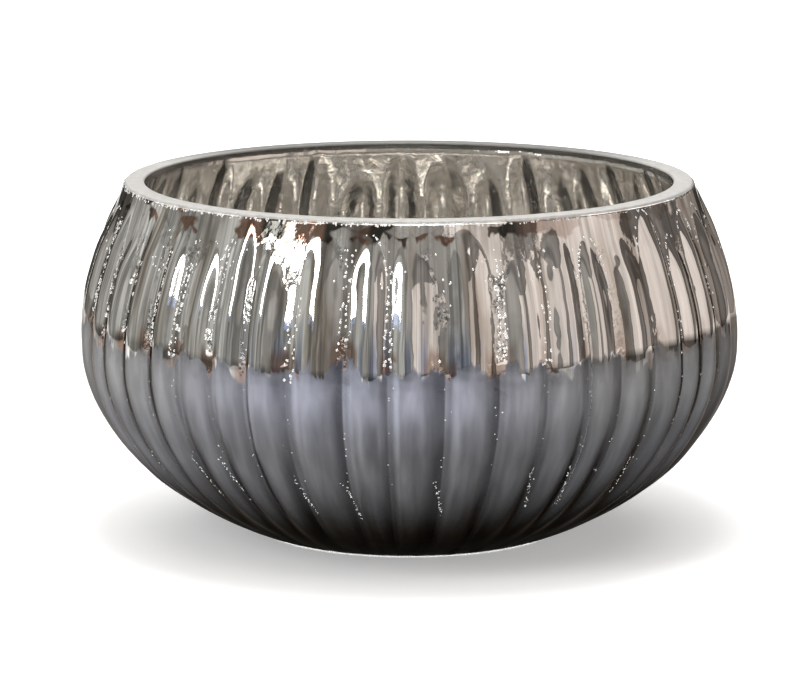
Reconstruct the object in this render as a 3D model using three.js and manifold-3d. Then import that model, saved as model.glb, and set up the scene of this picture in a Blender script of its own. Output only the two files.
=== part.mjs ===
// Ribbed candle bowl of thick clear glass, silvered on its outside. Sizes are in millimetres.
// The bowl stands on its foot ring at z = 0, its axis is the Z axis and +Z is up.
// A candle stands on the flat floor inside.
import * as THREE from 'three';
import * as BufferGeometryUtils from 'three/addons/utils/BufferGeometryUtils.js';
import Module from 'manifold-3d';

// Outline of the silvered wall, taken in the valleys between the ribs
const bowlHeight = 69.6;
const rimRadius = 56;
const bellyRadius = 64.3;
const bellyHeight = 38.2;
const footRadius = 29.4;
const rimLean = THREE.MathUtils.degToRad(19);     // how far the wall leans in at the rim
const footRise = THREE.MathUtils.degToRad(16);    // how steeply the wall leaves the foot

// Fullness of the curves: the length of each end's tangent as a share of the curve's own span
const footFullness = 0.48;
const lowerBellyFullness = 0.43;
const upperBellyFullness = 0.37;
const shoulderFullness = 0.53;

// Moulded ribs, which stand out of that outline and end in rounded tops below the rim
const ribCount = 44;
const ribDepth = 1;
const ribTopBelowRim = 6.6;
const ribTopSpread = 2.4;     // how far single tops lie above or below the common height
const ribTopStep = 2.4;       // turns the spread from one rib to the next, in radians
const ribArch = 8;            // height of a rounded top
const ribFootStart = 2;
const ribFootFade = 14;       // height over which the ribs rise from the plain foot
const frontCrest = THREE.MathUtils.degToRad(-88.5);

// Glass
const rimWall = 3.9;
const bellyWall = 4;
const floorThickness = 6;
const floorRadius = 24;
const rimBevel = 0.4;
const recessRadius = 23;
const recessDepth = 1.2;

// Silver film, modelled thicker than the real film of a few micrometres
const filmThickness = 0.4;
const filmGap = 0.3;
const bareRimBand = 1;        // bare glass between the top face of the rim and the film
const bareFootBand = 0.8;     // the film stops this far above the table

// Fineness of the facets
const facesPerRib = 4;
const wallRows = 7;
const archRows = 4;
const columns = ribCount * facesPerRib;
const smoothSegments = columns / 2;
const cavityRows = 8;

const wasm = await Module();
wasm.setup();

// Two cubic curves, from the foot to the belly and from the belly to the rim, as (radius, height)
function wallCurve(startPoint, rise, belly, rimPoint) {
  const lowSpan = new THREE.Vector2(belly.x - startPoint.x, belly.y - startPoint.y);
  const highSpan = rimPoint.y - belly.y;
  const footHandle = new THREE.Vector2(Math.cos(rise), Math.sin(rise)).multiplyScalar(footFullness * lowSpan.x);
  const rimHandle = new THREE.Vector2(Math.sin(rimLean), -Math.cos(rimLean));
  rimHandle.multiplyScalar(shoulderFullness * highSpan);
  const path = new THREE.CurvePath();
  path.add(new THREE.CubicBezierCurve(
    startPoint,
    startPoint.clone().add(footHandle),
    new THREE.Vector2(belly.x, belly.y - lowerBellyFullness * lowSpan.y),
    belly,
  ));
  path.add(new THREE.CubicBezierCurve(
    belly,
    new THREE.Vector2(belly.x, belly.y + upperBellyFullness * highSpan),
    rimPoint.clone().add(rimHandle),
    rimPoint,
  ));
  return path;
}

const outline = wallCurve(
  new THREE.Vector2(footRadius, 0),
  footRise,
  new THREE.Vector2(bellyRadius, bellyHeight),
  new THREE.Vector2(rimRadius, bowlHeight),
);

// Place along the outline, from 0 at the foot to 1 at the rim, that has a given height
function placeAtHeight(height) {
  let low = 0;
  let high = 1;
  for (let step = 0; step < 40; step += 1) {
    const middle = (low + high) / 2;
    if (outline.getPointAt(middle).y < height) {
      low = middle;
    } else {
      high = middle;
    }
  }
  return (low + high) / 2;
}

// Places of the rows from the film's lower edge to its upper edge, closer through the rib tops
function wallPlaces() {
  const start = placeAtHeight(bareFootBand);
  const archStart = placeAtHeight(bowlHeight - ribTopBelowRim - ribArch);
  const end = placeAtHeight(bowlHeight - bareRimBand);
  const places = [];
  for (let row = 0; row < wallRows; row += 1) {
    places.push(THREE.MathUtils.lerp(start, archStart, row / wallRows));
  }
  for (let row = 0; row <= archRows; row += 1) {
    places.push(THREE.MathUtils.lerp(archStart, end, row / archRows));
  }
  return places;
}

// How far a rib stands out of the outline: a parabola across the rib that ends in a parabola at the top
// and rises smoothly above the foot
function ribHeight(height, angle) {
  const turn = (angle - frontCrest) * ribCount / (2 * Math.PI);
  const ribNumber = Math.round(turn);
  const across = 2 * (turn - ribNumber);
  const ribTop = bowlHeight - ribTopBelowRim + ribTopSpread * Math.sin(ribTopStep * ribNumber);
  const intoTop = Math.max(0, height - (ribTop - ribArch)) / ribArch;
  const fullness = Math.max(0, 1 - across * across - intoTop * intoTop);
  return ribDepth * fullness * THREE.MathUtils.smoothstep(height, ribFootStart, ribFootStart + ribFootFade);
}

function ringOfPoints(radiusAndHeightAt) {
  const ring = [];
  for (let column = 0; column < columns; column += 1) {
    const angle = frontCrest + column * 2 * Math.PI / columns;
    const place = radiusAndHeightAt(angle);
    ring.push(new THREE.Vector3(place.x * Math.cos(angle), place.x * Math.sin(angle), place.y));
  }
  return ring;
}

function plainRing(radius, height) {
  return ringOfPoints(() => new THREE.Vector2(radius, height));
}

// A ring of the ribbed wall, set in from the outline by a depth measured square to it
function ribbedRing(place, depth) {
  const point = outline.getPointAt(place);
  const tangent = outline.getTangentAt(place);
  const outward = new THREE.Vector2(tangent.y, -tangent.x);
  return ringOfPoints((angle) => {
    const reach = ribHeight(point.y, angle) - depth;
    return point.clone().addScaledVector(outward, reach);
  });
}

// Joins rings of points with two triangles per face; each row faces away from the axis where it climbs
function wallFaces(rings, faces) {
  for (let row = 0; row + 1 < rings.length; row += 1) {
    for (let column = 0; column < columns; column += 1) {
      const next = (column + 1) % columns;
      const lower = rings[row];
      const upper = rings[row + 1];
      faces.push(lower[column], lower[next], upper[next]);
      faces.push(lower[column], upper[next], upper[column]);
    }
  }
}

function geometryFromFaces(faces) {
  return BufferGeometryUtils.mergeVertices(new THREE.BufferGeometry().setFromPoints(faces));
}

// A shell whose section is a closed loop of rings
function closedShell(rings) {
  const faces = [];
  wallFaces([...rings, rings[0]], faces);
  return geometryFromFaces(faces);
}

// A solid body between its first and last ring, each closed by a flat face
function closedBody(rings) {
  const faces = [];
  wallFaces(rings, faces);
  const first = rings[0];
  const last = rings[rings.length - 1];
  const bottomCentre = new THREE.Vector3(0, 0, first[0].z);
  const topCentre = new THREE.Vector3(0, 0, last[0].z);
  for (let column = 0; column < columns; column += 1) {
    const next = (column + 1) % columns;
    faces.push(bottomCentre, first[next], first[column]);
    faces.push(topCentre, last[column], last[next]);
  }
  return geometryFromFaces(faces);
}

// A turned body about the Z axis from a profile of (radius, height) points, listed from bottom to top
function turnedBody(profile) {
  const turned = new THREE.LatheGeometry(profile, smoothSegments);
  turned.rotateX(Math.PI / 2);
  return withoutExtras(turned);
}

function withoutExtras(geometry) {
  geometry.deleteAttribute('normal');
  geometry.deleteAttribute('uv');
  return BufferGeometryUtils.mergeVertices(geometry);
}

function toSolid(geometry) {
  return new wasm.Manifold(new wasm.Mesh({
    numProp: 3,
    vertProperties: new Float32Array(geometry.attributes.position.array),
    triVerts: new Uint32Array(geometry.index.array),
  }));
}

function fromSolid(solid) {
  const result = solid.getMesh();
  const geometry = new THREE.BufferGeometry();
  geometry.setAttribute('position', new THREE.BufferAttribute(new Float32Array(result.vertProperties), 3));
  geometry.setIndex(new THREE.BufferAttribute(new Uint32Array(result.triVerts), 1));
  return geometry;
}

// Glass: the ribbed body, hollowed from above and recessed from below
function glassGeometry() {
  const glassDepth = filmThickness + filmGap;
  const rings = [plainRing(footRadius, 0)];
  for (const place of wallPlaces()) {
    rings.push(ribbedRing(place, glassDepth));
  }
  const rimOuterRadius = outline.getPointAt(1).x - glassDepth / Math.cos(rimLean);
  rings.push(plainRing(rimOuterRadius, bowlHeight - rimBevel));
  rings.push(plainRing(rimOuterRadius - rimBevel, bowlHeight));
  const body = toSolid(closedBody(rings));
  const cavity = toSolid(cavityGeometry(rimOuterRadius - rimWall));
  const recess = toSolid(turnedBody([
    new THREE.Vector2(0, -recessDepth),
    new THREE.Vector2(recessRadius, -recessDepth),
    new THREE.Vector2(recessRadius, recessDepth),
    new THREE.Vector2(0, recessDepth),
  ]));
  return fromSolid(body.subtract(cavity).subtract(recess));
}

// The space inside the bowl: a flat floor, a curved wall and a bevelled mouth
function cavityGeometry(mouthRadius) {
  const wall = wallCurve(
    new THREE.Vector2(floorRadius, floorThickness),
    0,
    new THREE.Vector2(bellyRadius - bellyWall, bellyHeight),
    new THREE.Vector2(mouthRadius, bowlHeight - rimBevel),
  );
  const profile = [new THREE.Vector2(0, floorThickness)];
  for (let row = 0; row <= cavityRows; row += 1) {
    profile.push(wall.getPointAt(row / cavityRows));
  }
  profile.push(new THREE.Vector2(mouthRadius + rimBevel, bowlHeight));
  profile.push(new THREE.Vector2(mouthRadius + rimBevel, bowlHeight + rimWall));
  profile.push(new THREE.Vector2(0, bowlHeight + rimWall));
  return turnedBody(profile);
}

// Film on the outside wall: up the outer face and back down the inner one
function wallFilmGeometry() {
  const places = wallPlaces();
  const outer = places.map((place) => ribbedRing(place, 0));
  const inner = places.map((place) => ribbedRing(place, filmThickness));
  return closedShell([...outer, ...inner.reverse()]);
}

// Film in the recess under the bowl, clear of the recess by the film gap
function baseFilmGeometry() {
  const top = recessDepth - filmGap;
  const radius = recessRadius - filmGap;
  return turnedBody([
    new THREE.Vector2(0, top - filmThickness),
    new THREE.Vector2(radius, top - filmThickness),
    new THREE.Vector2(radius, top),
    new THREE.Vector2(0, top),
  ]);
}

function piece(name, geometry, finish) {
  geometry.computeVertexNormals();
  const mesh = new THREE.Mesh(geometry, new THREE.MeshStandardMaterial(finish));
  mesh.name = name;
  return mesh;
}

const clearGlass = { color: 0xc9cbc6, roughness: 0.25, metalness: 0, transparent: true, opacity: 0.4 };
const brightSilver = { color: 0xbdbab5, roughness: 0.1, metalness: 1 };
const dullSilver = { color: 0x8a8985, roughness: 0.35, metalness: 1 };

const candleBowl = new THREE.Group();
candleBowl.add(piece('glass_bowl', glassGeometry(), clearGlass));
candleBowl.add(piece('silver_coating', wallFilmGeometry(), brightSilver));
candleBowl.add(piece('base_coating', baseFilmGeometry(), dullSilver));

export default candleBowl;
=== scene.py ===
"""Ribbed candle bowl of thick glass, silvered on its outside, dressed round its fixed CAD frame.

Lengths are in metres. The bowl stands on z = 0, its axis is the Z axis, and -Y is its front.
"""
import math
from collections import namedtuple

import bpy
import numpy as np
from bpy.props import FloatProperty, FloatVectorProperty, IntProperty, PointerProperty
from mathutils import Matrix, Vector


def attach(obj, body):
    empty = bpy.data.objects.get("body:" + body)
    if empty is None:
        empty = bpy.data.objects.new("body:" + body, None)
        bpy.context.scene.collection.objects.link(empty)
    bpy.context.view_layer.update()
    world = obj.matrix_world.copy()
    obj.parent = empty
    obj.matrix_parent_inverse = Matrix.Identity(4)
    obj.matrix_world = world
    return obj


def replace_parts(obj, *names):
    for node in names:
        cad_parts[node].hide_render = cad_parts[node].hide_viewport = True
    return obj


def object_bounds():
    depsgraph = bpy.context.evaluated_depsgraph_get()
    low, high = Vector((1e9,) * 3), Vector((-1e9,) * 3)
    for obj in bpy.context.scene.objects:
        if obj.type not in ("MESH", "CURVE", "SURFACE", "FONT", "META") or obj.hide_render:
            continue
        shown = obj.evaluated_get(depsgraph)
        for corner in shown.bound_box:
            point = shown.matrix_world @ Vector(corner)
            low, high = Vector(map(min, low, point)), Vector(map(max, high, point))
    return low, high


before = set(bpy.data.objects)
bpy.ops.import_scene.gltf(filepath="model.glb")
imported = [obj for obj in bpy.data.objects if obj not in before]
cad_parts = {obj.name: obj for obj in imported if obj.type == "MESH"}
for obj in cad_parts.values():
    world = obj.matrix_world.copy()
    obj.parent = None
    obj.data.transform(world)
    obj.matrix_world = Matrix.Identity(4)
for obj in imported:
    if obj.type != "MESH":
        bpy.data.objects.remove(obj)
CAD_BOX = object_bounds()

bl_info = {
    "name": "Silvered candle bowl",
    "version": (1, 0, 0),
    "blender": (4, 5, 0),
    "location": "3D View > Sidebar > Candle Bowl",
    "description": "Builds a ribbed silvered glass candle bowl, its finishes and its studio",
    "category": "Object",
}

BODY = "root"
PHOTO_WIDTH = 810
MM = 0.001
TURN = 2 * math.pi
SEED = 44
FILM_COLUMNS_PER_RIB = 24
GLASS_COLUMNS_PER_RIB = 6
PLAIN_COLUMNS = 96
BEAD_COLUMNS = 7


def setting(kind, **limits):
    """A function that makes properties of one kind: lengths in metres, plain numbers, colours and so on."""
    def make(name, default, description):
        """A property with its name, its default and its description."""
        return kind(name=name, default=default, description=description, **limits)
    return make


length = setting(FloatProperty, unit="LENGTH", subtype="DISTANCE", precision=5)
radians = setting(FloatProperty, unit="ROTATION", subtype="ANGLE")
share = setting(FloatProperty, precision=3)
count = setting(IntProperty, min=1)
colour = setting(FloatVectorProperty, subtype="COLOR", size=3, min=0.0, max=1.0)


def angle(name, degrees, description):
    """An angle property, given in degrees and kept in radians."""
    return radians(name, math.radians(degrees), description)


class BowlSizes(bpy.types.PropertyGroup):
    """Sizes of the bowl's outline, ribs and glass."""
    height: length("Height", CAD_BOX[1][2], "Height of the rim above the table")
    rim_radius: length("Rim radius", 56 * MM, "Outline radius at the rim")
    belly_radius: length("Belly radius", 64.05 * MM, "Largest outline radius, in the valleys")
    belly_height: length("Belly height", 38.2 * MM, "Height of the largest radius")
    foot_radius: length("Foot radius", 29.4 * MM, "Outer radius of the foot ring")
    rim_lean: angle("Rim lean", 19, "How far the wall leans in at the rim")
    foot_rise: angle("Foot rise", 16, "How steeply the wall leaves the foot")
    foot_fullness: share("Foot fullness", 0.48, "Tangent length at the foot")
    lower_fullness: share("Lower belly fullness", 0.43, "Tangent length below the belly")
    upper_fullness: share("Upper belly fullness", 0.37, "Tangent length above the belly")
    shoulder_fullness: share("Shoulder fullness", 0.53, "Tangent length at the rim")

    rib_count: count("Ribs", 44, "Ribs round the bowl")
    rib_depth: length("Rib depth", 1.1 * MM, "How far a rib's crest stands out of the valleys")
    rib_width: share("Rib width", 0.9, "Width of a rib, in distances between ribs")
    rib_top_below_rim: length("Rib tops below rim", 3.2 * MM, "Common distance below the rim")
    rib_top_spread: length("Rib top spread", 2.9 * MM, "How far single tops lie off that height")
    rib_top_step: share("Rib top step", 2.4, "Turn of the spread from rib to rib, in radians")
    rib_arch: length("Rib arch", 10 * MM, "Height of a rib's rounded top")
    rib_foot_start: length("Rib foot", 2 * MM, "Height where the ribs begin")
    rib_foot_fade: length("Rib foot fade", 14 * MM, "Height over which the ribs rise from the foot")
    front_crest: angle("Front crest", -88.5, "Angle of a rib's crest near the front")
    front_spread: share("Front spread", 0.19, "How much wider the ribs are in front and behind, in ribs")
    hand_wander: share("Hand wander", 0.05, "How unevenly the single ribs are spaced, in ribs")
    hand_wave: length("Hand wave", 0.12 * MM, "Depth of the shallow waves in the moulded wall")
    rib_skew: share("Rib skew", 0.22, "How far single ribs lean to one side, in half ribs")
    rib_unevenness: share("Rib unevenness", 0.1, "How much shallower the shallowest ribs are")

    film_thickness: length("Film thickness", 0.3 * MM, "Thickness given to the silver film")
    glass_depth: length("Glass depth", 0.15 * MM, "How far the glass lies behind the outline")
    bare_rim: length("Bare rim", 0.45 * MM, "Bare glass below the top face of the rim")
    bare_foot: length("Bare foot", 0.25 * MM, "The film ends this far above the table")
    rim_wall: length("Rim wall", 3.8 * MM, "Width of the ground rim")
    rim_round: length("Rim rounding", 0.4 * MM, "Radius of the rim's rounded edges")
    belly_wall: length("Belly wall", 4.6 * MM, "From the outline to the inside")
    floor_height: length("Floor height", 6 * MM, "Height of the flat floor inside")
    floor_radius: length("Floor radius", 24 * MM, "Radius of the flat floor inside")
    recess_radius: length("Recess radius", 23 * MM, "Radius of the recess under the bowl")
    recess_depth: length("Recess depth", 1.2 * MM, "Depth of the recess under the bowl")


class SilverFinish(bpy.types.PropertyGroup):
    """Colours and sizes of the silver film's finish, with the painted reflections, highlights and shade on
    it.
    """
    bright: colour("Bright silver", (0.82, 0.80, 0.775), "Silver above the smoky zone")
    warm: colour("Warm silver", (0.50, 0.455, 0.41), "Tarnished streaks")
    # Dark valley colour: partly dark specks, partly painted shade in the valleys.
    grit_and_shade: colour("Grit", (0.20, 0.20, 0.19), "Dark grit in the valleys")
    # Below the boundary the film's colour is a painted reflection of a dark table: pale violet at its top in
    # front, paler grey at the sides, grey in the middle, and painted shade near black at the foot.
    reflected_lavender: colour("Lavender", (0.188, 0.196, 0.236), "Top of the smoky zone, in front")
    reflected_pale_grey: colour("Pale smoke", (0.168, 0.168, 0.171), "Top of the smoky zone, at the sides")
    reflected_grey: colour("Smoke", (0.106, 0.108, 0.115), "Middle of the smoky zone")
    shaded_foot_reflection: colour("Deep smoke", (0.016, 0.016, 0.014), "Silver at the foot")
    # Red-brown: real marks under the rim and under the bowl, and a painted reflection of reddish things just
    # above the boundary.
    red_stain_and_reflection: colour("Stain", (0.31, 0.19, 0.14), "Red-brown tarnish")
    dark_mark: colour("Dark mark", (0.055, 0.055, 0.048), "Dark marks under the rim")
    # A painted blue reflection, in stripes in front.
    blue_stripe: colour("Blue stripe", (0.42, 0.47, 0.60), "Stripes above the smoky zone, in front")
    back: colour("Film back", (1.0, 0.955, 0.895), "The film's back, seen through the glass")
    # The boundary is the painted horizon of that reflection, made ragged by streaks and stripes.
    boundary: length("Boundary", 42.4 * MM, "Height where the smoky zone begins")
    boundary_jag: length("Boundary jag", 10 * MM, "How far streaks and stripes move that boundary")
    boundary_blend: length("Boundary blend", 1.2 * MM, "Height over which the zones blend")
    # Painted reflections of light and dark panels, as tongues that end at the painted table reflection.
    tongue_top: length("Tongue top", 43 * MM, "Height where the tongues begin")
    tongue_light: share("Light tongues", 0.66, "Brightness of the light tongues")
    tongue_dark: share("Dark tongues", 0.3, "Brightness of the dark tongues")


class StageLook(bpy.types.PropertyGroup):
    """Floor, light and camera."""
    floor: colour("Floor", (0.88, 0.88, 0.88), "Colour of the floor")
    floor_glow: share("Floor glow", 0.36, "Light added where the floor is seen")
    far_glow: share("Far glow", 0.8, "The same, far from the bowl")
    floor_flat: length("Flat floor", 0.12, "Radius of the flat part of the floor")
    floor_bend: length("Floor bend", 0.15, "How gradually the floor begins to fall away")
    floor_fall: angle("Floor fall", 5.2, "Slope of the floor far from the bowl")
    world_left: colour("World left", (0.37, 0.37, 0.35), "Studio to the left of the bowl")
    world_right: colour("World right", (0.20, 0.178, 0.165), "Studio to the right of the bowl")
    ceiling: colour("Ceiling", (0.95, 0.91, 0.86), "Studio overhead")
    view_distance: length("View distance", 0.85, "From the camera to the middle of the bowl")
    view_rise: angle("View rise", 10.51, "Elevation of the camera")
    view_target: length("View target", 35 * MM, "Height that the camera looks at")
    pixels_per_metre: share("Pixels per metre", 5037.9, "Scale of the photograph at the bowl's axis")
    shift_right: share("Shift right", 4, "Bowl's axis right of the picture's middle, in pixels")
    shift_down: share("Shift down", 13.15, "View target below the picture's middle, in pixels")


class CandleBowlSettings(bpy.types.PropertyGroup):
    """Everything that a user can change."""
    sizes: PointerProperty(type=BowlSizes)
    silver: PointerProperty(type=SilverFinish)
    stage: PointerProperty(type=StageLook)


# The wall's outline and ribs

Outline = namedtuple("Outline", "place radius height out_radius out_height")


def cubic(start, start_handle, end_handle, end, samples=600):
    """Points of the cubic Bezier curve through two ends and two handles."""
    t = np.linspace(0, 1, samples)[:, None]
    weights = ((1 - t) ** 3, 3 * (1 - t) ** 2 * t, 3 * (1 - t) * t ** 2, t ** 3)
    corners = (start, start_handle, end_handle, end)
    return sum(weight * np.array(corner) for weight, corner in zip(weights, corners))


def two_curve_wall(sizes, start, rise, belly, rim):
    """Points (radius, height) of a wall: one cubic from its start to the belly, one from there to the rim."""
    low_radius, low_height = belly[0] - start[0], belly[1] - start[1]
    high = rim[1] - belly[1]
    foot_handle = sizes.foot_fullness * low_radius
    rim_handle = sizes.shoulder_fullness * high
    lower = cubic(
        start,
        (start[0] + foot_handle * math.cos(rise), start[1] + foot_handle * math.sin(rise)),
        (belly[0], belly[1] - sizes.lower_fullness * low_height),
        belly,
    )
    upper = cubic(
        belly,
        (belly[0], belly[1] + sizes.upper_fullness * high),
        (rim[0] + rim_handle * math.sin(sizes.rim_lean), rim[1] - rim_handle * math.cos(sizes.rim_lean)),
        rim,
    )
    return np.vstack([lower, upper[1:]])


def as_outline(points):
    """Points as an outline that is looked up by place, the share of its length from 0 to 1."""
    steps = np.hypot(*np.diff(points, axis=0).T)
    travelled = np.concatenate([[0], np.cumsum(steps)])
    slope = np.gradient(points, travelled, axis=0)
    slope /= np.hypot(slope[:, 0], slope[:, 1])[:, None]
    return Outline(travelled / travelled[-1], points[:, 0], points[:, 1], slope[:, 1], -slope[:, 0])


def outer_outline(sizes):
    """The outline of the silvered wall in the valleys between the ribs."""
    return as_outline(two_curve_wall(
        sizes,
        (sizes.foot_radius, 0.0),
        sizes.foot_rise,
        (sizes.belly_radius, sizes.belly_height),
        (sizes.rim_radius, sizes.height),
    ))


def place_at_height(outline, height):
    """The place along an outline at a height."""
    return np.interp(height, outline.height, outline.place)


def rib_turn(sizes, around):
    """Rib number as a smooth function of the angle: even spacing, plus one slow wave that widens the ribs in
    front and behind, plus two short waves for the uneven hand-made spacing."""
    from_front = around - sizes.front_crest
    turn = from_front * sizes.rib_count / TURN
    turn = turn - sizes.front_spread * np.sin(4 * from_front)
    return turn + sizes.hand_wander * (np.sin(11 * from_front + 1.0) + np.sin(17 * from_front + 2.5))


def rib_top(sizes, rib):
    """Height of a rib's top: the common height, plus a sine of the rib's number."""
    return sizes.height - sizes.rib_top_below_rim + sizes.rib_top_spread * np.sin(sizes.rib_top_step * rib)


def rib_fullness(sizes, around, height):
    """How full the rib is, from 0 in a valley to 1 on a crest, and how far across the rib a point lies.

    Across a rib it is a cosine to the power 1.5 that ends at the rib's width, with a little plain wall
    between the ribs. Towards the rib's top the same cosine is taken of the distance from the rib's axis and
    from the start of its arch together, so a rib ends in a round dome. Single ribs lean to one side and
    differ in depth and height. A smooth step fades the ribs in above the foot."""
    turn = rib_turn(sizes, around)
    number = np.round(turn)
    across = 2 * (turn - number)
    rib = np.mod(number, sizes.rib_count)
    leaning = across + sizes.rib_skew * np.sin(1.7 * rib + 1.0) * (1 - across ** 2)
    into_top = np.clip((height - (rib_top(sizes, rib) - sizes.rib_arch)) / sizes.rib_arch, 0, None)
    away = np.clip(np.sqrt((leaning / sizes.rib_width) ** 2 + into_top ** 2), 0, 1)
    depth = 1 - sizes.rib_unevenness * (0.5 + 0.5 * np.sin(2.9 * rib))
    rise = np.clip((height - sizes.rib_foot_start) / sizes.rib_foot_fade, 0, 1)
    fullness = depth * np.cos(away * math.pi / 2) ** 1.5 * rise ** 2 * (3 - 2 * rise)
    return fullness, np.broadcast_to(across, fullness.shape)


def moulded_wave(sizes, around, height):
    """Shallow inward waves of the wall, never above 0: the sum of four sines that run aslant round it."""
    up = height / sizes.height
    wave = (np.sin(37 * around + 25 * up) + np.sin(53 * around - 41 * up + 1.3)
            + np.sin(29 * around + 58 * up + 2.1) + np.sin(61 * around - 12 * up + 0.7))
    return sizes.hand_wave * (wave / 4 - 1) / 2


def turned(radius, height, around):
    """Points at a distance from the axis, a height and an angle round the axis. All three broadcast."""
    return np.stack(np.broadcast_arrays(radius * np.cos(around), radius * np.sin(around), height), axis=-1)


def wall_points(sizes, outline, place, around, depth):
    """Points of the ribbed wall, set in by a depth square to the outline. place and around broadcast."""
    radius, height, out_radius, out_height = (
        np.interp(place, outline.place, values) for values in outline[1:])
    fullness, across = rib_fullness(sizes, around, height)
    reach = sizes.rib_depth * fullness + moulded_wave(sizes, around, height) - depth
    return turned(radius + out_radius * reach, height + out_height * reach, around), fullness, across


def plain_rings(profile, around):
    """Rings without ribs: each point (radius, height) of a profile, turned round the axis."""
    radius, height = np.asarray(profile).T[:, :, None]
    return turned(radius, height, around)


def round_the_axis(columns):
    """Evenly spaced angles round the axis."""
    return np.arange(columns)[None, :] * TURN / columns


# Meshes

def ring_quads(rows, columns, closed=False):
    """Quads between rings of points: each face looks away from the axis where the rings climb."""
    row = np.arange(rows if closed else rows - 1)[:, None]
    column = np.arange(columns)[None, :]
    above = (row + 1) % rows
    beside = (column + 1) % columns
    corners = (row * columns + column, row * columns + beside,
               above * columns + beside, above * columns + column)
    return np.stack(corners, axis=-1).reshape(-1, 4)


def fan(centre, ring, flip):
    """Triangles from a centre point to a ring of points; flip turns them over."""
    beside = np.roll(ring, -1)
    pair = (beside, ring) if flip else (ring, beside)
    return np.stack([np.full_like(ring, centre), *pair], axis=-1)


def capped(rows, columns):
    """Faces of a grid of rings, with a fan that closes the first ring and one that closes the last. The
    fans' two centre points come after the points of the rings."""
    ring = np.arange(columns)
    under = fan(rows * columns, ring, flip=True)
    over = fan(rows * columns + 1, ring + (rows - 1) * columns, flip=False)
    return ring_quads(rows, columns), under, over


def new_mesh(name, points, *face_sets):
    """An object at the origin, with a smooth-shaded mesh of those points and faces."""
    mesh = bpy.data.meshes.new(name)
    faces = [face for face_set in face_sets for face in face_set.tolist()]
    mesh.from_pydata(points.reshape(-1, 3).tolist(), [], faces)
    mesh.polygons.foreach_set("use_smooth", np.ones(len(faces), dtype=bool))
    mesh.update()
    piece = bpy.data.objects.new(name, mesh)
    bpy.context.scene.collection.objects.link(piece)
    return piece


def closed_mesh(name, rings, start_height, end_height):
    """An object of rings, closed on the axis at a height before the first and after the last."""
    centres = [(0.0, 0.0, start_height), (0.0, 0.0, end_height)]
    return new_mesh(name, np.concatenate([rings.reshape(-1, 3), centres]), *capped(*rings.shape[:2]))


def point_values(piece, name, values):
    """Keeps one number for each point of a mesh, for its material to read."""
    layer = piece.data.attributes.new(name, "FLOAT", "POINT")
    layer.data.foreach_set("value", np.ascontiguousarray(values, dtype=np.float32).ravel())


def dress(piece, materials, second=None):
    """Gives a piece its body and its materials, the second one to chosen faces."""
    if second is not None:
        piece.data.polygons.foreach_set("material_index", second.astype(np.int32))
    for material in materials:
        piece.data.materials.append(material)
    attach(piece, BODY)


def wall_places(sizes, outline, lower_rows, upper_rows):
    """Places of the rows of points up the wall, closer together through the rounded rib tops."""
    start = place_at_height(outline, sizes.bare_foot)
    arch = place_at_height(outline, sizes.height - sizes.rib_top_below_rim - sizes.rib_arch)
    end = place_at_height(outline, sizes.height - sizes.bare_rim)
    lower = np.linspace(start, arch, lower_rows, endpoint=False)
    return np.concatenate([lower, np.linspace(arch, end, upper_rows)])[:, None]


def make_wall_film(sizes, materials):
    """The silver film: the ribbed wall's grid up the outside and, one thickness deeper and coarser, down
    again."""
    columns = FILM_COLUMNS_PER_RIB * sizes.rib_count
    outline = outer_outline(sizes)
    around = round_the_axis(columns)
    place = wall_places(sizes, outline, lower_rows=42, upper_rows=36)
    inner_place = wall_places(sizes, outline, lower_rows=7, upper_rows=7)[::-1]
    outside = wall_points(sizes, outline, place, around, 0.0)
    inside = wall_points(sizes, outline, inner_place, around, sizes.film_thickness)
    points, fullness, across = (np.concatenate(pair) for pair in zip(outside, inside))
    rows = len(points)
    film = new_mesh("silver_film", points, ring_quads(rows, columns, closed=True))
    point_values(film, "valley", 1 - fullness)
    point_values(film, "across", across)
    face_row = np.repeat(np.arange(rows), columns)
    dress(film, materials, second=face_row >= len(place))
    return film


def quarter_round(centre, radius, start, steps=5):
    """Points (radius, height) of a quarter circle that turns anticlockwise from a start angle in degrees."""
    turn = np.radians(np.linspace(start, start + 90, steps))
    return np.stack([centre[0] + radius * np.cos(turn), centre[1] + radius * np.sin(turn)], axis=-1)


def rim_profile(sizes, outer_radius, inner_radius):
    """The ground rim: two rounded edges with a flat between them, from outside to inside."""
    low = sizes.height - sizes.rim_round
    outer = quarter_round((outer_radius - sizes.rim_round, low), sizes.rim_round, 0)
    inner = quarter_round((inner_radius + sizes.rim_round, low), sizes.rim_round, 90)
    flat = np.linspace(outer[-1], inner[0], 6)[1:-1]
    return np.vstack([outer, flat, inner])


def inside_profile(sizes, inner_radius, rows):
    """The smooth inside, from just below the rim down to the floor, and two rings of the floor."""
    outline = as_outline(two_curve_wall(
        sizes,
        (sizes.floor_radius, sizes.floor_height),
        0.0,
        (sizes.belly_radius - sizes.belly_wall, sizes.belly_height),
        (inner_radius, sizes.height - sizes.rim_round),
    ))
    down = np.linspace(1, 0, rows)[1:]
    wall = [np.interp(down, outline.place, values) for values in (outline.radius, outline.height)]
    floor = [(part * sizes.floor_radius, sizes.floor_height) for part in (0.7, 0.4)]
    return np.vstack([np.stack(wall, axis=-1), floor])


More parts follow.
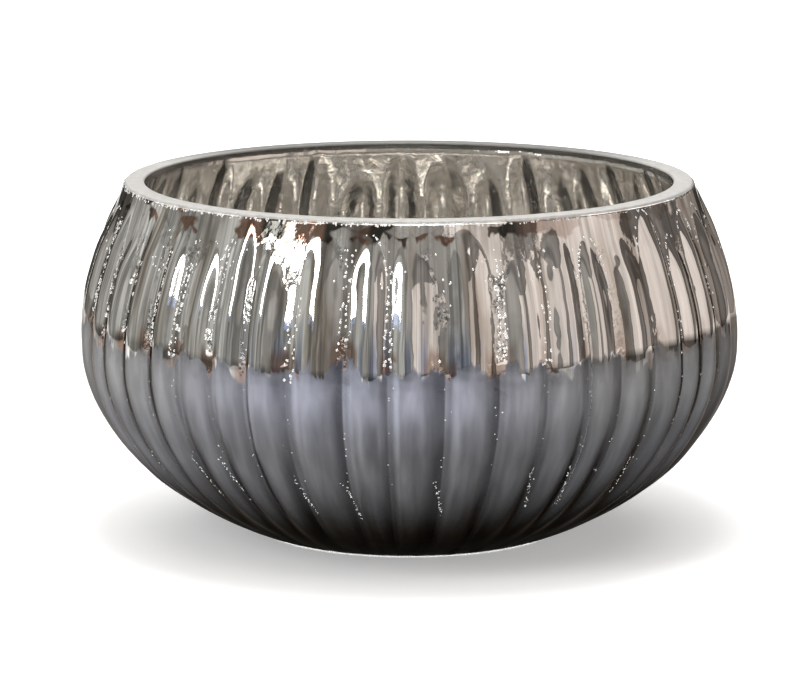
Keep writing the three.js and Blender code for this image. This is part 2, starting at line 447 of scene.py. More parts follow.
def make_glass(sizes, materials):
    """The glass: a closed surface from the recess under the bowl, up its ribbed outside, over the rim and
    down its smooth inside to the floor. Its outside lies inside the thickness given to the film."""
    columns = GLASS_COLUMNS_PER_RIB * sizes.rib_count
    around = round_the_axis(columns)
    outline = outer_outline(sizes)
    chamfer = 0.4 * MM
    recess = [
        (0.5 * sizes.recess_radius, sizes.recess_depth),
        (sizes.recess_radius - chamfer, sizes.recess_depth),
        (sizes.recess_radius, sizes.recess_depth - chamfer),
        (sizes.recess_radius, chamfer),
    ]
    foot = [
        (sizes.recess_radius + chamfer, 0.0),
        (sizes.foot_radius - chamfer, 0.0),
        (sizes.foot_radius, 0.25 * chamfer),
    ]
    place = wall_places(sizes, outline, lower_rows=32, upper_rows=20)
    outer_radius = sizes.rim_radius - sizes.glass_depth
    inner_radius = sizes.rim_radius - sizes.glass_depth - sizes.rim_wall
    sections = {
        "recess": plain_rings(recess, around),
        "foot": plain_rings(foot, around),
        "wall": wall_points(sizes, outline, place, around, sizes.glass_depth)[0],
        "rim": plain_rings(rim_profile(sizes, outer_radius, inner_radius), around),
        "inside": plain_rings(inside_profile(sizes, inner_radius, rows=44), around),
    }
    rings = np.concatenate(list(sections.values()))
    glass = closed_mesh("glass_body", rings, sizes.recess_depth, sizes.floor_height)

    lengths = [len(section) for section in sections.values()]
    first = dict(zip(sections, np.cumsum([0] + lengths)))
    caps = np.full(2 * columns, -1)
    face_row = np.concatenate([np.repeat(np.arange(len(rings) - 1), columns), caps])
    on_foot = (face_row >= first["foot"] - 1) & (face_row < first["wall"] - 1)
    on_rim = (face_row >= first["rim"] - 1) & (face_row < first["inside"] - 1)
    dress(glass, materials, second=on_rim | on_foot)
    return glass


def make_base_film(sizes, materials):
    """The film under the bowl: a thin disc with a rounded edge, in the recess. Its upper side, seen through
    the glass, has the second material."""
    gap = 0.05 * MM
    rounding = 0.1 * MM
    top = sizes.recess_depth - gap
    bottom = top - sizes.film_thickness
    edge = sizes.recess_radius - 0.5 * MM
    under = [(0.33 * edge, bottom), (0.66 * edge, bottom), (edge - rounding, bottom)]
    side = [(edge, bottom + rounding), (edge, top - rounding)]
    over = [(edge - rounding, top), (0.66 * edge, top), (0.33 * edge, top)]
    rings = plain_rings(under + side + over, round_the_axis(PLAIN_COLUMNS))
    film = closed_mesh("base_film", rings, bottom, top)
    rows = len(rings)
    face_row = np.repeat([*range(rows - 1), 0, rows], PLAIN_COLUMNS)
    dress(film, materials, second=face_row >= len(under + side))
    return film


def unit(vectors):
    """Vectors of length 1."""
    return vectors / np.linalg.norm(vectors, axis=1)[:, None]


def domes(centres, outward, radius):
    """Small closed beads: one ball of 5 rings and 2 poles for each centre, a little flattened along
    outward."""
    around = round_the_axis(BEAD_COLUMNS)
    tilt = np.radians([-60, -30, 0, 30, 60])[:, None]
    rings = turned(np.cos(tilt), np.sin(tilt), around)
    ball = np.vstack([rings.reshape(-1, 3), (0, 0, -1), (0, 0, 1)])
    side = unit(np.cross(outward, (0.0, 0.0, 1.0)))
    up = np.cross(side, outward)
    flattening = 0.7
    offsets = (ball[None, :, 0, None] * side[:, None] + ball[None, :, 1, None] * -up[:, None]
               + flattening * ball[None, :, 2, None] * outward[:, None])
    points = centres[:, None] + radius[:, None, None] * offsets
    quads, under, over = capped(*rings.shape[:2])
    first = np.arange(len(centres))[:, None, None] * len(ball)
    triangles = np.vstack([under, over])
    return points, (quads[None] + first).reshape(-1, 4), (triangles[None] + first).reshape(-1, 3)


def bead_chain(draw, valley, beads, low, high, small, large, slant=0.0, spread=0.05):
    """Heights, places round the bowl in ribs, and radii of the beads of one chain in a valley."""
    along = draw.uniform(0, 1, beads)
    height = low + (high - low) * along
    number = valley + 0.5 + slant * (along - 0.5) + draw.normal(0, spread, beads)
    return np.stack([height, number, draw.uniform(small, large, beads)])


def arch_chain(sizes, draw, rib, beads):
    """Heights, places and radii of beads along the half ellipse where a rib's arched top meets the wall."""
    turn = draw.uniform(math.radians(15), math.radians(165), beads)
    height = rib_top(sizes, rib) - sizes.rib_arch * (1 - 0.95 * np.sin(turn))
    number = rib + 0.5 * sizes.rib_width * np.cos(turn)
    return np.stack([height, number, draw.uniform(0.15 * MM, 0.32 * MM, beads)])


def bead_places(sizes, draw):
    """Chains of beads: each valley has its own share, thick above, with a few fine ones below and in some
    valleys a slanting line of fine beads near the foot. Some arches are beaded, and a few valleys hold large
    drops. The valleys at the front right are nearly bare."""
    chains = []
    for valley in range(sizes.rib_count):
        bare = 2 < valley < 12
        busy = draw.uniform(0.1, 1.0) ** 1.5 * (0.15 if bare else 1.2)
        start = draw.uniform(40 * MM, 47 * MM)
        side = draw.uniform(-0.14, 0.14)
        for shift in (side, side + 0.12):
            chains.append(bead_chain(draw, valley + shift, int(34 * busy), start, start + 18 * MM,
                                     0.2 * MM, 0.36 * MM, slant=0.1, spread=0.02))
        chains += [
            bead_chain(draw, valley, int(12 * busy), 57 * MM, 65 * MM, 0.16 * MM, 0.34 * MM, spread=0.2),
            bead_chain(draw, valley, 6, 20 * MM, 40 * MM, 0.1 * MM, 0.2 * MM),
        ]
        if draw.uniform() < 0.4:
            chains.append(arch_chain(sizes, draw, valley, 16))
        if draw.uniform() < 0.35:
            chains.append(bead_chain(draw, valley, 2, 46 * MM, 60 * MM, 0.5 * MM, 0.75 * MM))
        if valley % 3 != 1:
            foot = draw.uniform(11 * MM, 15 * MM)
            chains.append(bead_chain(draw, valley, 30, foot, foot + 9 * MM,
                                     0.1 * MM, 0.2 * MM, slant=-0.25, spread=0.02))
    return np.concatenate(chains, axis=1)


def make_beads(sizes, material):
    """Droplets of silver: chains in the valleys, and a beaded edge where the film ends under the rim, finer
    on the right."""
    draw = np.random.default_rng(SEED)
    outline = outer_outline(sizes)
    table = np.linspace(0, TURN, 20001) + sizes.front_crest
    turns = rib_turn(sizes, table)
    heights, numbers, valley_radius = bead_places(sizes, draw)
    valley_around = np.interp(np.mod(numbers - turns[0], sizes.rib_count) + turns[0], turns, table)

    edge_count = 700
    edge_around = draw.uniform(0, TURN, edge_count)
    edge_height = sizes.height - sizes.bare_rim - draw.uniform(0.0, 0.5 * MM, edge_count)
    finer_on_right = np.interp(np.cos(edge_around), (0.1, 0.5), (1.0, 0.5))
    edge_radius = draw.uniform(0.12 * MM, 0.32 * MM, edge_count) * finer_on_right

    around = np.concatenate([valley_around, edge_around])
    place = place_at_height(outline, np.concatenate([heights, edge_height]))
    radius = np.concatenate([valley_radius, edge_radius])
    sunk = 0.35 * radius
    centres = wall_points(sizes, outline, place, around, sunk)[0]
    nearer = wall_points(sizes, outline, place, around, sunk - 0.1 * MM)[0]
    beads = new_mesh("silver_beads", *domes(centres, unit(nearer - centres), radius))
    dress(beads, [material])
    return beads


# Shader parts

def feed(node, inputs):
    """Puts links or plain values into a node's inputs."""
    for name, value in inputs.items():
        if isinstance(value, bpy.types.NodeSocket):
            node.id_data.links.new(value, node.inputs[name])
        else:
            node.inputs[name].default_value = value


def add(tree, kind, inputs=None, **settings):
    """Adds a shader node with its settings, and with values or links in its inputs."""
    node = tree.nodes.new("ShaderNode" + kind)
    for name, value in settings.items():
        setattr(node, name, value)
    feed(node, inputs or {})
    return node


def maths(tree, operation, first, second=0.0, third=0.0):
    """A Math node's result."""
    return add(tree, "Math", {0: first, 1: second, 2: third}, operation=operation).outputs[0]


def product(tree, value, *factors):
    """A value times each factor."""
    for factor in factors:
        value = maths(tree, "MULTIPLY", value, factor)
    return value


def remap(tree, value, low, high, to_low=0.0, to_high=1.0, smooth=False):
    """A value moved from one range to another, clamped."""
    node = add(tree, "MapRange", {
        "Value": value, "From Min": low, "From Max": high, "To Min": to_low, "To Max": to_high,
    }, interpolation_type="SMOOTHSTEP" if smooth else "LINEAR")
    return node.outputs[0]


def ramp(tree, length_socket, low, high, to_low=0.0, to_high=1.0, smooth=False):
    """A length moved from a range in millimetres to another range, clamped."""
    return remap(tree, length_socket, low * MM, high * MM, to_low, to_high, smooth)


def fade(tree, mask, value):
    """A factor that goes from 1 to a value as a mask goes from 0 to 1."""
    return remap(tree, mask, 0.0, 1.0, 1.0, value)


def away_from(tree, value, centre):
    """How far a value is from a centre."""
    return maths(tree, "ABSOLUTE", maths(tree, "SUBTRACT", value, centre))


def opaque(tone):
    """A colour socket as it is, or a plain colour with alpha 1."""
    return tone if isinstance(tone, bpy.types.NodeSocket) else (*tone, 1.0)


def blend(tree, factor, first, second, mode="MIX"):
    """Two colours mixed by a factor."""
    colours = {0: factor, 6: opaque(first), 7: opaque(second)}
    return add(tree, "Mix", colours, data_type="RGBA", blend_type=mode).outputs[2]


def tinted(tree, tone, factor):
    """A colour made lighter or darker by a factor."""
    grey = add(tree, "CombineColor", {0: factor, 1: factor, 2: factor}).outputs[0]
    return blend(tree, 1.0, tone, grey, "MULTIPLY")


def bump(tree, height, distance, **others):
    """The normal that a relief of some height gives."""
    return add(tree, "Bump", {"Height": height, "Distance": distance, **others}).outputs[0]


def place_of(tree):
    """Where a point of the object lies, in metres."""
    return add(tree, "TexCoord").outputs["Object"]


def parts_of(tree, vector):
    """A vector's three parts. Those of a place are right, back and up."""
    return add(tree, "SeparateXYZ", {0: vector}).outputs


def stored(tree, name):
    """The number that a mesh keeps for each point under a name."""
    return add(tree, "Attribute", attribute_name=name).outputs["Fac"]


def noise(tree, vector, scale, detail=2.0, roughness=0.5):
    """Noise from about 0.25 to 0.75."""
    inputs = {"Vector": vector, "Scale": scale, "Detail": detail, "Roughness": roughness}
    return add(tree, "TexNoise", inputs).outputs["Fac"]


def new_group(name, inputs, output):
    """A node group with named inputs and one output, and its input and output nodes."""
    group = bpy.data.node_groups.new(name, "ShaderNodeTree")
    for socket, default in inputs.items():
        made = group.interface.new_socket(socket, in_out="INPUT", socket_type="NodeSocketFloat")
        made.default_value = default
    group.interface.new_socket(output, in_out="OUTPUT", socket_type="NodeSocketFloat")
    return group, group.nodes.new("NodeGroupInput").outputs, group.nodes.new("NodeGroupOutput")


def level_direction(tree):
    """The level direction from the axis to a point, and the point's height."""
    right, back, height = parts_of(tree, place_of(tree))
    level = add(tree, "CombineXYZ", {0: right, 1: back}).outputs[0]
    return add(tree, "VectorMath", {0: level}, operation="NORMALIZE").outputs[0], height


def streaks_group():
    """Streaks that run up the wall: noise of the direction from the axis, with the height pressed
    together."""
    group, given, result = new_group("wall_streaks", {"Scale": 20.0, "Stretch": 0.1}, "Streaks")
    direction, height = level_direction(group)
    right, back, _ = parts_of(group, direction)
    per_metre = 16.0
    pressed = product(group, height, per_metre, given["Stretch"])
    vector = add(group, "CombineXYZ", {0: right, 1: back, 2: pressed}).outputs[0]
    feed(result, {"Streaks": noise(group, vector, given["Scale"])})
    return group


def stripes_group():
    """Square-edged stripes that run up the wall: one random number for each cell of the direction from the
    axis."""
    group, given, result = new_group("wall_stripes", {"Scale": 40.0}, "Stripes")
    direction, _ = level_direction(group)
    cells = add(group, "TexVoronoi", {"Vector": direction, "Scale": given["Scale"]}, voronoi_dimensions="2D")
    feed(result, {"Stripes": add(group, "SeparateColor", {0: cells.outputs["Color"]}).outputs[0]})
    return group


def grain_group():
    """Fine grain: rounded cells with softer noise in them."""
    group, given, result = new_group("film_grain", {"Scale": 1500.0}, "Grain")
    place = place_of(group)
    cells = add(group, "TexVoronoi", {"Vector": place, "Scale": given["Scale"]}, feature="SMOOTH_F1")
    soft = noise(group, place, given["Scale"], detail=3.0)
    feed(result, {"Grain": maths(group, "ADD", product(group, cells.outputs["Distance"], 0.6), soft)})
    return group


def blotches_group():
    """Ragged blotches: fine noise above a threshold, thinned out by broad noise."""
    group, given, result = new_group("blotches", {"Scale": 300.0, "Amount": 0.3}, "Blotches")
    place = place_of(group)
    fine = noise(group, place, given["Scale"], detail=4.0, roughness=0.65)
    broad = noise(group, place, product(group, given["Scale"], 0.23))
    low = maths(group, "SUBTRACT", 1.25, product(group, given["Amount"], 0.5))
    spots = remap(group, maths(group, "ADD", fine, broad), low, maths(group, "ADD", low, 0.05))
    feed(result, {"Blotches": spots})
    return group


SHARED_GROUPS = {
    "wall_streaks": streaks_group,
    "wall_stripes": stripes_group,
    "film_grain": grain_group,
    "blotches": blotches_group,
}


def use(tree, name, **values):
    """Places a shared node group, which is made when it is first used, with its own values."""
    group = bpy.data.node_groups.get(name) or SHARED_GROUPS[name]()
    return add(tree, "Group", values, node_tree=group).outputs[0]


def streaks(tree, scale, stretch):
    """Soft streaks up the wall, from about 0.25 to 0.75. A larger stretch makes them shorter."""
    return use(tree, "wall_streaks", Scale=scale, Stretch=stretch)


def stripes(tree, scale):
    """Square-edged stripes up the wall, each with its own number from 0 to 1."""
    return use(tree, "wall_stripes", Scale=scale)


def grains(tree, scale):
    """Grain from about 0.4 to 1."""
    return use(tree, "film_grain", Scale=scale)


def new_material(name):
    """An empty material with its Principled shader joined to its output."""
    material = bpy.data.materials.new(name)
    material.use_nodes = True
    tree = material.node_tree
    tree.nodes.clear()
    shader = add(tree, "BsdfPrincipled")
    add(tree, "OutputMaterial", {"Surface": shader.outputs[0]})
    return material, tree, shader


# The film's outside

def upper_mask(tree, silver, height):
    """1 above the ragged line where the painted table reflection begins and 0 below it, and the height over
    that line.
    """
    soft = maths(tree, "SUBTRACT", streaks(tree, 20.0, 0.1), 0.5)
    square = maths(tree, "SUBTRACT", stripes(tree, 36.0), 0.5)
    moved = product(tree, maths(tree, "MULTIPLY_ADD", square, 0.35, soft), silver.boundary_jag)
    over = maths(tree, "SUBTRACT", maths(tree, "SUBTRACT", height, moved), silver.boundary)
    half = silver.boundary_blend / 2
    return remap(tree, over, -half, half, smooth=True), over


def painted_table_reflection(tree, silver, right, height, valley, across):
    """The painted reflection of a dark table: pale violet at its top in front, and painted shade down to
    nearly black at the foot. Painted light and shade on the ribs: lighter on one flank of each rib, darker in
    the valleys and towards the right, and streaky. In front the crests have a painted dark oval at mid
    height, and a painted highlight line runs down each rib's left flank."""
    # Painted reflection: painted shade near black at the foot, grey above it, pale violet and pale grey at
    # its top.
    low = blend(tree, ramp(tree, height, 4, 22, smooth=True), silver.shaded_foot_reflection, silver.reflected_grey)
    from_left = ramp(tree, right, -52, -22)
    front = maths(tree, "MINIMUM", from_left, ramp(tree, right, 36, 6))
    pale = blend(tree, front, silver.reflected_pale_grey, silver.reflected_lavender)
    tone = blend(tree, ramp(tree, height, 24, 41, smooth=True), low, pale)

    # Painted light and shade on the ribs: one flank lighter, the valleys darker, painted shade towards the
    # right and low down, and painted streaks.
    facing = product(tree, across, ramp(tree, right, -58, -18, -1.0, 1.0))
    patches = remap(tree, streaks(tree, 9.0, 0.3), 0.35, 0.65, 0.1, 0.55)
    flank = maths(tree, "SUBTRACT", 1.0, product(tree, facing, patches))
    valley_shade = ramp(tree, maths(tree, "ABSOLUTE", right), 28, 48, 0.6, 0.8)
    in_valley = remap(tree, valley, 0.45, 0.97, 1.0, valley_shade)
    side = ramp(tree, maths(tree, "SUBTRACT", right, height), -35, 33, 1.3, 0.58)
    streaky = remap(tree, streaks(tree, 30.0, 0.2), 0.35, 0.65, 0.85, 1.15)

    # A painted dark oval on the crests in front, and a painted highlight line down each rib's left flank.
    from_middle = away_from(tree, height, 29 * MM)
    crest = remap(tree, valley, 0.5, 0.1, smooth=True)
    oval = product(tree, ramp(tree, from_middle, 8, 2, smooth=True), crest, front)
    from_line = away_from(tree, across, -0.66)
    line = product(tree, remap(tree, from_line, 0.16, 0.04), ramp(tree, right, 40, 10))
    shades = (flank, in_valley, side, streaky, fade(tree, oval, 0.72), fade(tree, line, 1.3))
    return tinted(tree, tone, product(tree, *shades))


def streaks_and_painted_reflections(tree, silver, right, height, aside, low):
    """Bright silver with broad tarnished streaks and fine soft and square-edged ones, light and dark tongues
    of painted reflection that end at the painted table reflection, and in front stripes of painted blue
    reflection that reach up from it. Painted shade darkens it where the far right of the belly turns away."""
    broad = maths(tree, "ADD", streaks(tree, 15.0, 0.12), ramp(tree, right, -40, 40, 0.0, -0.03))
    silvery = blend(tree, remap(tree, broad, 0.48, 0.62), silver.bright, silver.warm)
    # Painted blue reflection in stripes, in front.
    in_front = product(tree, ramp(tree, aside, 36, 24), ramp(tree, height, 53, 45))
    blue = product(tree, remap(tree, stripes(tree, 52.0), 0.6, 0.66), in_front)
    tone = blend(tree, blue, silvery, silver.blue_stripe)

    soft = remap(tree, streaks(tree, 80.0, 0.04), 0.35, 0.65, -0.2, 0.14)
    square = remap(tree, stripes(tree, 62.0), 0.0, 1.0, -0.26, 0.26)
    strength = ramp(tree, right, 5, 45, 1.0, 0.4)
    fine = maths(tree, "MULTIPLY_ADD", maths(tree, "ADD", soft, square), strength, 1.0)
    # Painted reflection: light and dark tongues, darker on the right.
    tongues = remap(tree, stripes(tree, 30.0), 0.4, 0.6, silver.tongue_dark, silver.tongue_light)
    tongues = product(tree, tongues, ramp(tree, right, 5, 35, 1.0, 0.35))
    tongue = maths(tree, "MULTIPLY_ADD", low, maths(tree, "SUBTRACT", tongues, 1.0), 1.0)
    # Painted shade where the far right of the belly turns away.
    far_right = ramp(tree, right, 56, 63, 1.0, 0.6)
    return tinted(tree, tone, product(tree, fine, tongue, far_right))


def marks_and_reflected_red(tree, silver, right, height, valley, over, low):
    """Where the bright silver is marked, and the marks' colour: a painted red-brown reflection of reddish
    things at the horizon, in the valleys just above the painted table reflection, and red-brown or dark marks
    in a ragged band under the rim, mostly left of the middle."""
    blotches = use(tree, "blotches", Scale=300.0, Amount=0.9)
    # Painted reflection of reddish things at the horizon, in the valleys just above the boundary.
    just_above = product(tree, ramp(tree, over, 4.5, 2.5), remap(tree, valley, 0.4, 0.7))
    at_line = product(tree, blotches, just_above, ramp(tree, right, 0, 30, 1.0, 0.35))

    off_centre = away_from(tree, right, -20 * MM)
    near_centre = ramp(tree, off_centre, 8, 15, 1.0, 0.0)
    ragged = maths(tree, "MULTIPLY_ADD", streaks(tree, 26.0, 0.3), -7 * MM, height)
    ragged = maths(tree, "MULTIPLY_ADD", near_centre, 0.8 * MM, ragged)
    gathered = maths(tree, "MULTIPLY_ADD", near_centre, 0.12, streaks(tree, 7.0, 2.0))
    band = product(tree, ramp(tree, ragged, 62.4, 63), remap(tree, gathered, 0.51, 0.55))
    under_rim = product(tree, band, ramp(tree, right, 18, 32, 1.0, 0.3))

    dark = maths(tree, "MULTIPLY_ADD", near_centre, 0.04, streaks(tree, 5.0, 0.1))
    dark = product(tree, remap(tree, dark, 0.48, 0.52), under_rim)
    mark = blend(tree, dark, silver.red_stain_and_reflection, silver.dark_mark)
    marked = maths(tree, "MAXIMUM", product(tree, at_line, 0.75), product(tree, under_rim, 0.96))
    return marked, tinted(tree, mark, fade(tree, low, 0.5))


def bright_zone_colour(tree, silver, right, height, valley, over, grain, grit_and_shade):
    """The bright zone's colour: streaked silver with painted reflections, with dark specks and painted shade
    in the valleys, and with tarnish marks and a painted red-brown reflection.
    """
    aside = maths(tree, "ABSOLUTE", right)
    # Where the painted tongues begin: up to 2 mm higher at the sides.
    lowered = maths(tree, "SUBTRACT", height, ramp(tree, aside, 20, 50, 0.0, 2 * MM))
    low = remap(tree, lowered, silver.tongue_top, silver.tongue_top - 1.5 * MM)
    clean = streaks_and_painted_reflections(tree, silver, right, height, aside, low)
    # Dark specks and painted shade darken the valleys.
    with_grit_and_shade = blend(tree, product(tree, remap(tree, grain, 0.78, 0.62), grit_and_shade), clean, silver.grit_and_shade)
    marked, mark = marks_and_reflected_red(tree, silver, right, height, valley, over, low)
    return blend(tree, marked, with_grit_and_shade, mark)


# Materials

def bright_silver(silver):
    """Mirror film: bright above a ragged line, and satin below it with a painted reflection of a dark table
    and painted shade at the foot; dark specks and painted shade in the valleys.
    """
    material, tree, shader = new_material("bright_silver")
    right, _, height = parts_of(tree, place_of(tree))
    valley = stored(tree, "valley")
    grain = grains(tree, 1500.0)
    # Where the valleys are dark: dark specks and painted shade, in patches, on the left and below the top
    # band.
    patches = remap(tree, streaks(tree, 11.0, 0.9), 0.49, 0.60)
    below_band = ramp(tree, height, 61, 65, 1.0, 0.15)
    on_left = ramp(tree, right, 22, 38, 1.0, 0.35)
    grit_and_shade = product(tree, remap(tree, valley, 0.88, 0.99), below_band, patches, on_left)

    upper, over = upper_mask(tree, silver, height)
    # Below the ragged line the colour is a painted reflection of a dark table.
    reflected_table = painted_table_reflection(tree, silver, right, height, valley, stored(tree, "across"))
    bright = bright_zone_colour(tree, silver, right, height, valley, over, grain, grit_and_shade)
    satin = ramp(tree, height, 2, 12, 0.6, 0.27)
    smooth = product(tree, satin, fade(tree, upper, 0.18))
    ripple = bump(tree, noise(tree, place_of(tree), 300.0, detail=1.0), 0.06 * MM)
    relief = product(tree, grain, grit_and_shade, remap(tree, upper, 0.0, 1.0, 0.3, 1.0))
    feed(shader, {
        "Metallic": 1.0,
        "Specular Tint": opaque((0.42, 0.40, 0.38)),
        "Base Color": blend(tree, upper, reflected_table, bright),
        "Roughness": maths(tree, "MULTIPLY_ADD", grit_and_shade, 0.1, smooth),
        "Normal": bump(tree, relief, 0.15 * MM, Normal=ripple),
    })
    return material


def film_back(silver, name, flat=False):
    """A film's back, seen through the glass: soft painted highlight streaks on the ribs, browner between
    them. On a flat film the streaks give way to grain."""
    material, tree, shader = new_material(name)
    streak = grains(tree, 120.0) if flat else streaks(tree, 24.0, 0.5)
    on_rib = remap(tree, stored(tree, "valley"), 0.9, 0.3)
    # Painted highlights: lighter streaks on the ribs.
    light = product(tree, remap(tree, streak, 0.4, 0.6), on_rib)
    feed(shader, {
        "Metallic": 0.9,
        "Base Color": blend(tree, light, [0.9 * part for part in silver.back], silver.back),
        "Roughness": remap(tree, streak, 0.3, 0.7, 0.06, 0.18),
        "Normal": bump(tree, grains(tree, 500.0), 0.09 * MM),
    })
    return material


def clear_glass():
    """Thick clear glass, with faint smears and shallow waves."""
    material, tree, shader = new_material("clear_glass")
    place = place_of(tree)
    feed(shader, {
        "Base Color": opaque((0.995, 0.995, 0.985)),
        "Transmission Weight": 1.0,
        "IOR": 1.5,
        "Roughness": remap(tree, noise(tree, place, 80.0), 0.35, 0.7, 0.01, 0.06),
        "Normal": bump(tree, noise(tree, place, 200.0), 0.3 * MM, Strength=0.3),
    })
    return material


def ground_glass():
    """Ground glass of the rim and foot: pale, matt and finely pitted, and darker with painted shade at the
    far side of the bowl."""
    material, tree, shader = new_material("ground_glass")
    grain = grains(tree, 900.0)
    tone = blend(tree, remap(tree, grain, 0.4, 1.0), (0.52, 0.51, 0.49), (0.70, 0.69, 0.67))
    _, back, _ = parts_of(tree, place_of(tree))
    feed(shader, {
        "Transmission Weight": 0.2,
        "IOR": 1.5,
        # Painted shade: darker at the far side of the bowl.
        "Base Color": tinted(tree, tone, ramp(tree, back, 20, 42, 1.0, 0.42)),
        "Roughness": remap(tree, grain, 0.4, 1.0, 0.35, 0.6),
        "Normal": bump(tree, grain, 0.08 * MM, Strength=0.5),
    })
    return material


def bead_silver():
    """The droplets: pale silver, partly frosted, with a little mottling."""
    material, tree, shader = new_material("bead_silver")
    mottle = remap(tree, grains(tree, 400.0), 0.4, 1.0)
    feed(shader, {
        "Metallic": 0.6,
        "Base Color": blend(tree, mottle, (0.80, 0.79, 0.77), (0.97, 0.97, 0.97)),
        "Roughness": remap(tree, mottle, 0.0, 1.0, 0.22, 0.1),
    })
    return material


def base_silver(silver):
    """The film under the bowl: dull silver, rubbed and stained."""
    material, tree, shader = new_material("base_silver")
    rubbed = remap(tree, grains(tree, 120.0), 0.4, 1.0)
    dull, rubbed_tone = ([part * brightness for part in silver.bright] for brightness in (0.6, 0.4))
    stains = use(tree, "blotches", Scale=200.0, Amount=0.25)
    feed(shader, {
        "Metallic": 1.0,
        "Base Color": blend(tree, stains, blend(tree, rubbed, dull, rubbed_tone), silver.red_stain_and_reflection),
        "Roughness": remap(tree, rubbed, 0.0, 1.0, 0.25, 0.45),
    })
    return material


def pale_floor(look):
    """The floor's material, barely mottled. A little light is added to it where the camera, a mirror or
    glass sees it, and more far from the bowl, so that it looks white and still shows the bowl's shadow."""
    material, tree, shader = new_material("pale_floor")
    place = place_of(tree)
    lighter = [min(1.0, 1.02 * part) for part in look.floor]
    path = add(tree, "LightPath").outputs
    direct = maths(tree, "MAXIMUM", path["Is Camera Ray"], path["Is Glossy Ray"])
    seen = maths(tree, "MAXIMUM", direct, path["Is Transmission Ray"])
    away = add(tree, "VectorMath", {0: place}, operation="LENGTH").outputs["Value"]
    glow = remap(tree, away, 0.12, 0.75, look.floor_glow, look.far_glow, smooth=True)
    feed(shader, {
        "Base Color": blend(tree, noise(tree, place, 6.0), look.floor, lighter),
        "Roughness": 0.9,
        "Specular IOR Level": 0.1,
        "Emission Color": opaque((1.0, 1.0, 1.0)),
        "Emission Strength": product(tree, seen, glow),
    })
    return material


# Stage

def make_floor(look):
    """A wide pale disc, flat under the bowl and falling away gently round it along a hyperbola, so that the
    wall mirrors its far edge low down, as in the photograph."""
    radius = np.array([0.12, 0.2, 0.3, 0.45, 0.7, 1.2, 2.5, 6.0, 20.0])
    beyond = radius - look.floor_flat
    falling = math.tan(look.floor_fall) * (np.hypot(beyond, look.floor_bend) - look.floor_bend)
    rings = plain_rings(np.stack([radius, -falling], axis=-1), round_the_axis(PLAIN_COLUMNS))
    points = np.concatenate([rings.reshape(-1, 3), [(0.0, 0.0, 0.0)]])
    facing_up = ring_quads(*rings.shape[:2])[:, ::-1]
    middle = fan(len(points) - 1, np.arange(PLAIN_COLUMNS), flip=False)
    floor = new_mesh("floor", points, facing_up, middle)
    floor.data.materials.append(pale_floor(look))


def aimed(name, data, distance, around, rise, aim):
    """A lamp or camera that faces the bowl's axis at the height of its aim, from a distance, an angle round
    the bowl (0 in front, a quarter turn at its right) and an elevation."""
    holder = bpy.data.objects.new(name, data)
    flat = distance * math.cos(rise)
    holder.location = (flat * math.sin(around), -flat * math.cos(around), aim + distance * math.sin(rise))
    holder.rotation_euler = (math.pi / 2 - rise, 0.0, around)
    bpy.context.scene.collection.objects.link(holder)
    return holder


def softbox(name, azimuth, elevation, wide, high, radiance, tint, distance=1.4, aim=50 * MM):
    """A rectangular lamp that looks wide by high degrees from the bowl's axis."""
    lamp = bpy.data.lights.new(name, "AREA")
    lamp.shape = "RECTANGLE"
    lamp.size = 2 * distance * math.tan(math.radians(wide / 2))
    lamp.size_y = 2 * distance * math.tan(math.radians(high / 2))
    lamp.color = tint
    lamp.energy = radiance * math.pi * lamp.size * lamp.size_y
    aimed(name, lamp, distance, math.radians(azimuth), math.radians(elevation), aim)


def make_lamps():
    """A bright window of two panes at the front left, with a strip of blue sky below each, softboxes
    overhead, high in front and high behind, warm ones to the right and a faint one at the back left."""
    white, warm, blue = (1.0, 1.0, 1.0), (1.0, 0.90, 0.835), (0.35, 0.5, 1.0)
    for name, azimuth in (("left_pane", -53.5), ("right_pane", -46)):
        softbox(name, azimuth, 32, 5.5, 28, 8.0, white)
        softbox(name + "_sky", azimuth, 16.5, 5.5, 2.5, 0.45, blue)
    softbox("front_softbox", 0, 65, 60, 30, 1.2, white)
    softbox("top_softbox", 0, 88, 18, 16, 10.0, white)
    softbox("near_warm_softbox", 26, 14, 18, 36, 0.45, warm)
    softbox("warm_softbox", 73, 14, 40, 40, 0.62, warm)
    softbox("far_warm_softbox", 136, 0.5, 36, 16, 0.42, warm, distance=0.8)
    softbox("left_softbox", -128, 14, 30, 26, 0.25, white)
    softbox("back_softbox", 178, 42, 60, 30, 2.6, white)


def make_world(look):
    """A studio round the bowl that is lighter to its left and darker behind, with soft upright panels and a
    pale ceiling."""
    world = bpy.data.worlds.new("studio")
    world.use_nodes = True
    tree = world.node_tree
    right, back, up = parts_of(tree, add(tree, "TexCoord").outputs["Generated"])
    panels = add(tree, "CombineXYZ", {0: right, 1: back, 2: product(tree, up, 0.25)}).outputs[0]
    light = remap(tree, noise(tree, panels, 4.5, detail=1.0), 0.40, 0.60, 0.7, 1.3)
    behind = remap(tree, back, 0.6, 0.95, 1.0, 0.35)
    tone = blend(tree, remap(tree, right, -0.8, 0.8), look.world_left, look.world_right)
    walls = tinted(tree, tone, product(tree, light, behind))
    overhead = remap(tree, up, 0.72, 0.92, smooth=True)
    feed(tree.nodes["Background"], {"Color": blend(tree, overhead, walls, look.ceiling), "Strength": 1.0})
    bpy.context.scene.world = world


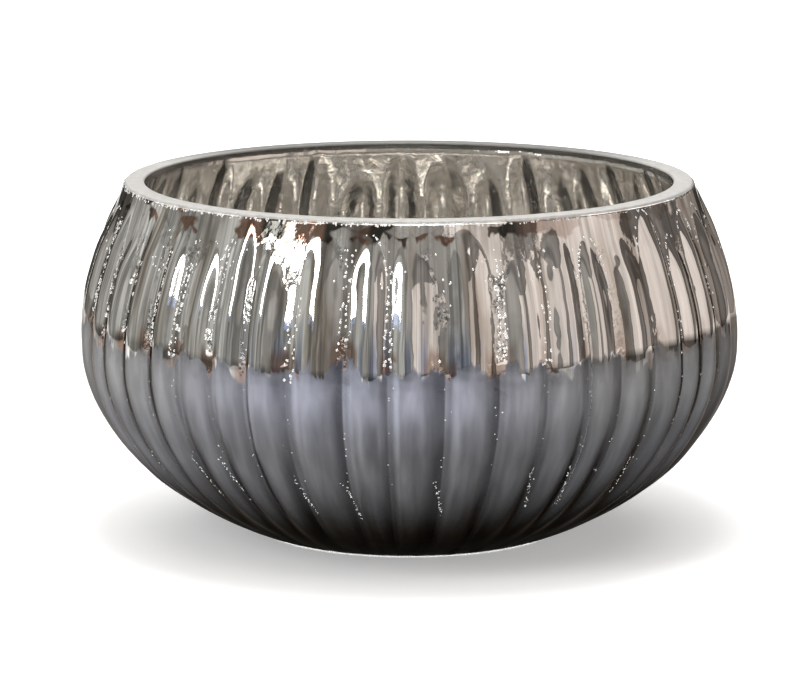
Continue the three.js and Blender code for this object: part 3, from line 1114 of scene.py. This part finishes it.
def make_camera(look):
    """The photograph's view: the lens gives the measured pixels per metre at the bowl's axis."""
    camera = bpy.data.cameras.new("photo_camera")
    camera.sensor_width = 36.0
    camera.lens = camera.sensor_width * look.pixels_per_metre * look.view_distance / PHOTO_WIDTH
    camera.shift_x = -look.shift_right / PHOTO_WIDTH
    camera.shift_y = look.shift_down / PHOTO_WIDTH
    camera.clip_start = 0.01
    holder = aimed("photo_camera", camera, look.view_distance, 0.0, look.view_rise, look.view_target)
    bpy.context.scene.camera = holder


# Operators and panel

class SceneMaker(bpy.types.Operator):
    """Shared base of the operators."""
    bl_options = {"REGISTER", "UNDO"}


class CANDLEBOWL_OT_wall_film(SceneMaker):
    """Make the silver film of the ribbed wall"""
    bl_idname = "candlebowl.wall_film"
    bl_label = "Silver film"

    def execute(self, context):
        settings = context.scene.candle_bowl
        materials = (bright_silver(settings.silver), film_back(settings.silver, "film_back"))
        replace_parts(make_wall_film(settings.sizes, materials), "silver_coating")
        return {"FINISHED"}


class CANDLEBOWL_OT_beads(SceneMaker):
    """Make the droplets of silver in the valleys and under the rim"""
    bl_idname = "candlebowl.beads"
    bl_label = "Silver beads"

    def execute(self, context):
        make_beads(context.scene.candle_bowl.sizes, bead_silver())
        return {"FINISHED"}


class CANDLEBOWL_OT_glass(SceneMaker):
    """Make the glass body with its ground rim and foot"""
    bl_idname = "candlebowl.glass"
    bl_label = "Glass body"

    def execute(self, context):
        settings = context.scene.candle_bowl
        materials = (clear_glass(), ground_glass())
        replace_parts(make_glass(settings.sizes, materials), "glass_bowl")
        return {"FINISHED"}


class CANDLEBOWL_OT_base_film(SceneMaker):
    """Make the silver film under the bowl"""
    bl_idname = "candlebowl.base_film"
    bl_label = "Base film"

    def execute(self, context):
        settings = context.scene.candle_bowl
        materials = (base_silver(settings.silver), film_back(settings.silver, "base_back", flat=True))
        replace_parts(make_base_film(settings.sizes, materials), "base_coating")
        return {"FINISHED"}


class CANDLEBOWL_OT_stage(SceneMaker):
    """Make the floor, the lamps, the world and the camera"""
    bl_idname = "candlebowl.stage"
    bl_label = "Studio"

    def execute(self, context):
        look = context.scene.candle_bowl.stage
        make_floor(look)
        make_lamps()
        make_world(look)
        make_camera(look)
        context.scene.view_settings.view_transform = "Standard"
        return {"FINISHED"}


OPERATORS = (
    CANDLEBOWL_OT_wall_film,
    CANDLEBOWL_OT_beads,
    CANDLEBOWL_OT_glass,
    CANDLEBOWL_OT_base_film,
    CANDLEBOWL_OT_stage,
)


class CANDLEBOWL_PT_panel(bpy.types.Panel):
    """Lists the bowl's pieces in the 3D view's sidebar."""
    bl_label = "Candle Bowl"
    bl_space_type = "VIEW_3D"
    bl_region_type = "UI"
    bl_category = "Candle Bowl"

    def draw(self, context):
        for operator in OPERATORS:
            self.layout.operator(operator.bl_idname)


CLASSES = (BowlSizes, SilverFinish, StageLook, CandleBowlSettings, *OPERATORS, CANDLEBOWL_PT_panel)


def register():
    """Registers the settings, the operators and the panel."""
    for kind in CLASSES:
        bpy.utils.register_class(kind)
    bpy.types.Scene.candle_bowl = PointerProperty(type=CandleBowlSettings)


def unregister():
    """Takes them away again."""
    del bpy.types.Scene.candle_bowl
    for kind in reversed(CLASSES):
        bpy.utils.unregister_class(kind)


def main():
    """Makes every piece and the studio."""
    register()
    for operator in OPERATORS:
        group, name = operator.bl_idname.split(".")
        getattr(getattr(bpy.ops, group), name)()


if __name__ == "__main__":
    main()
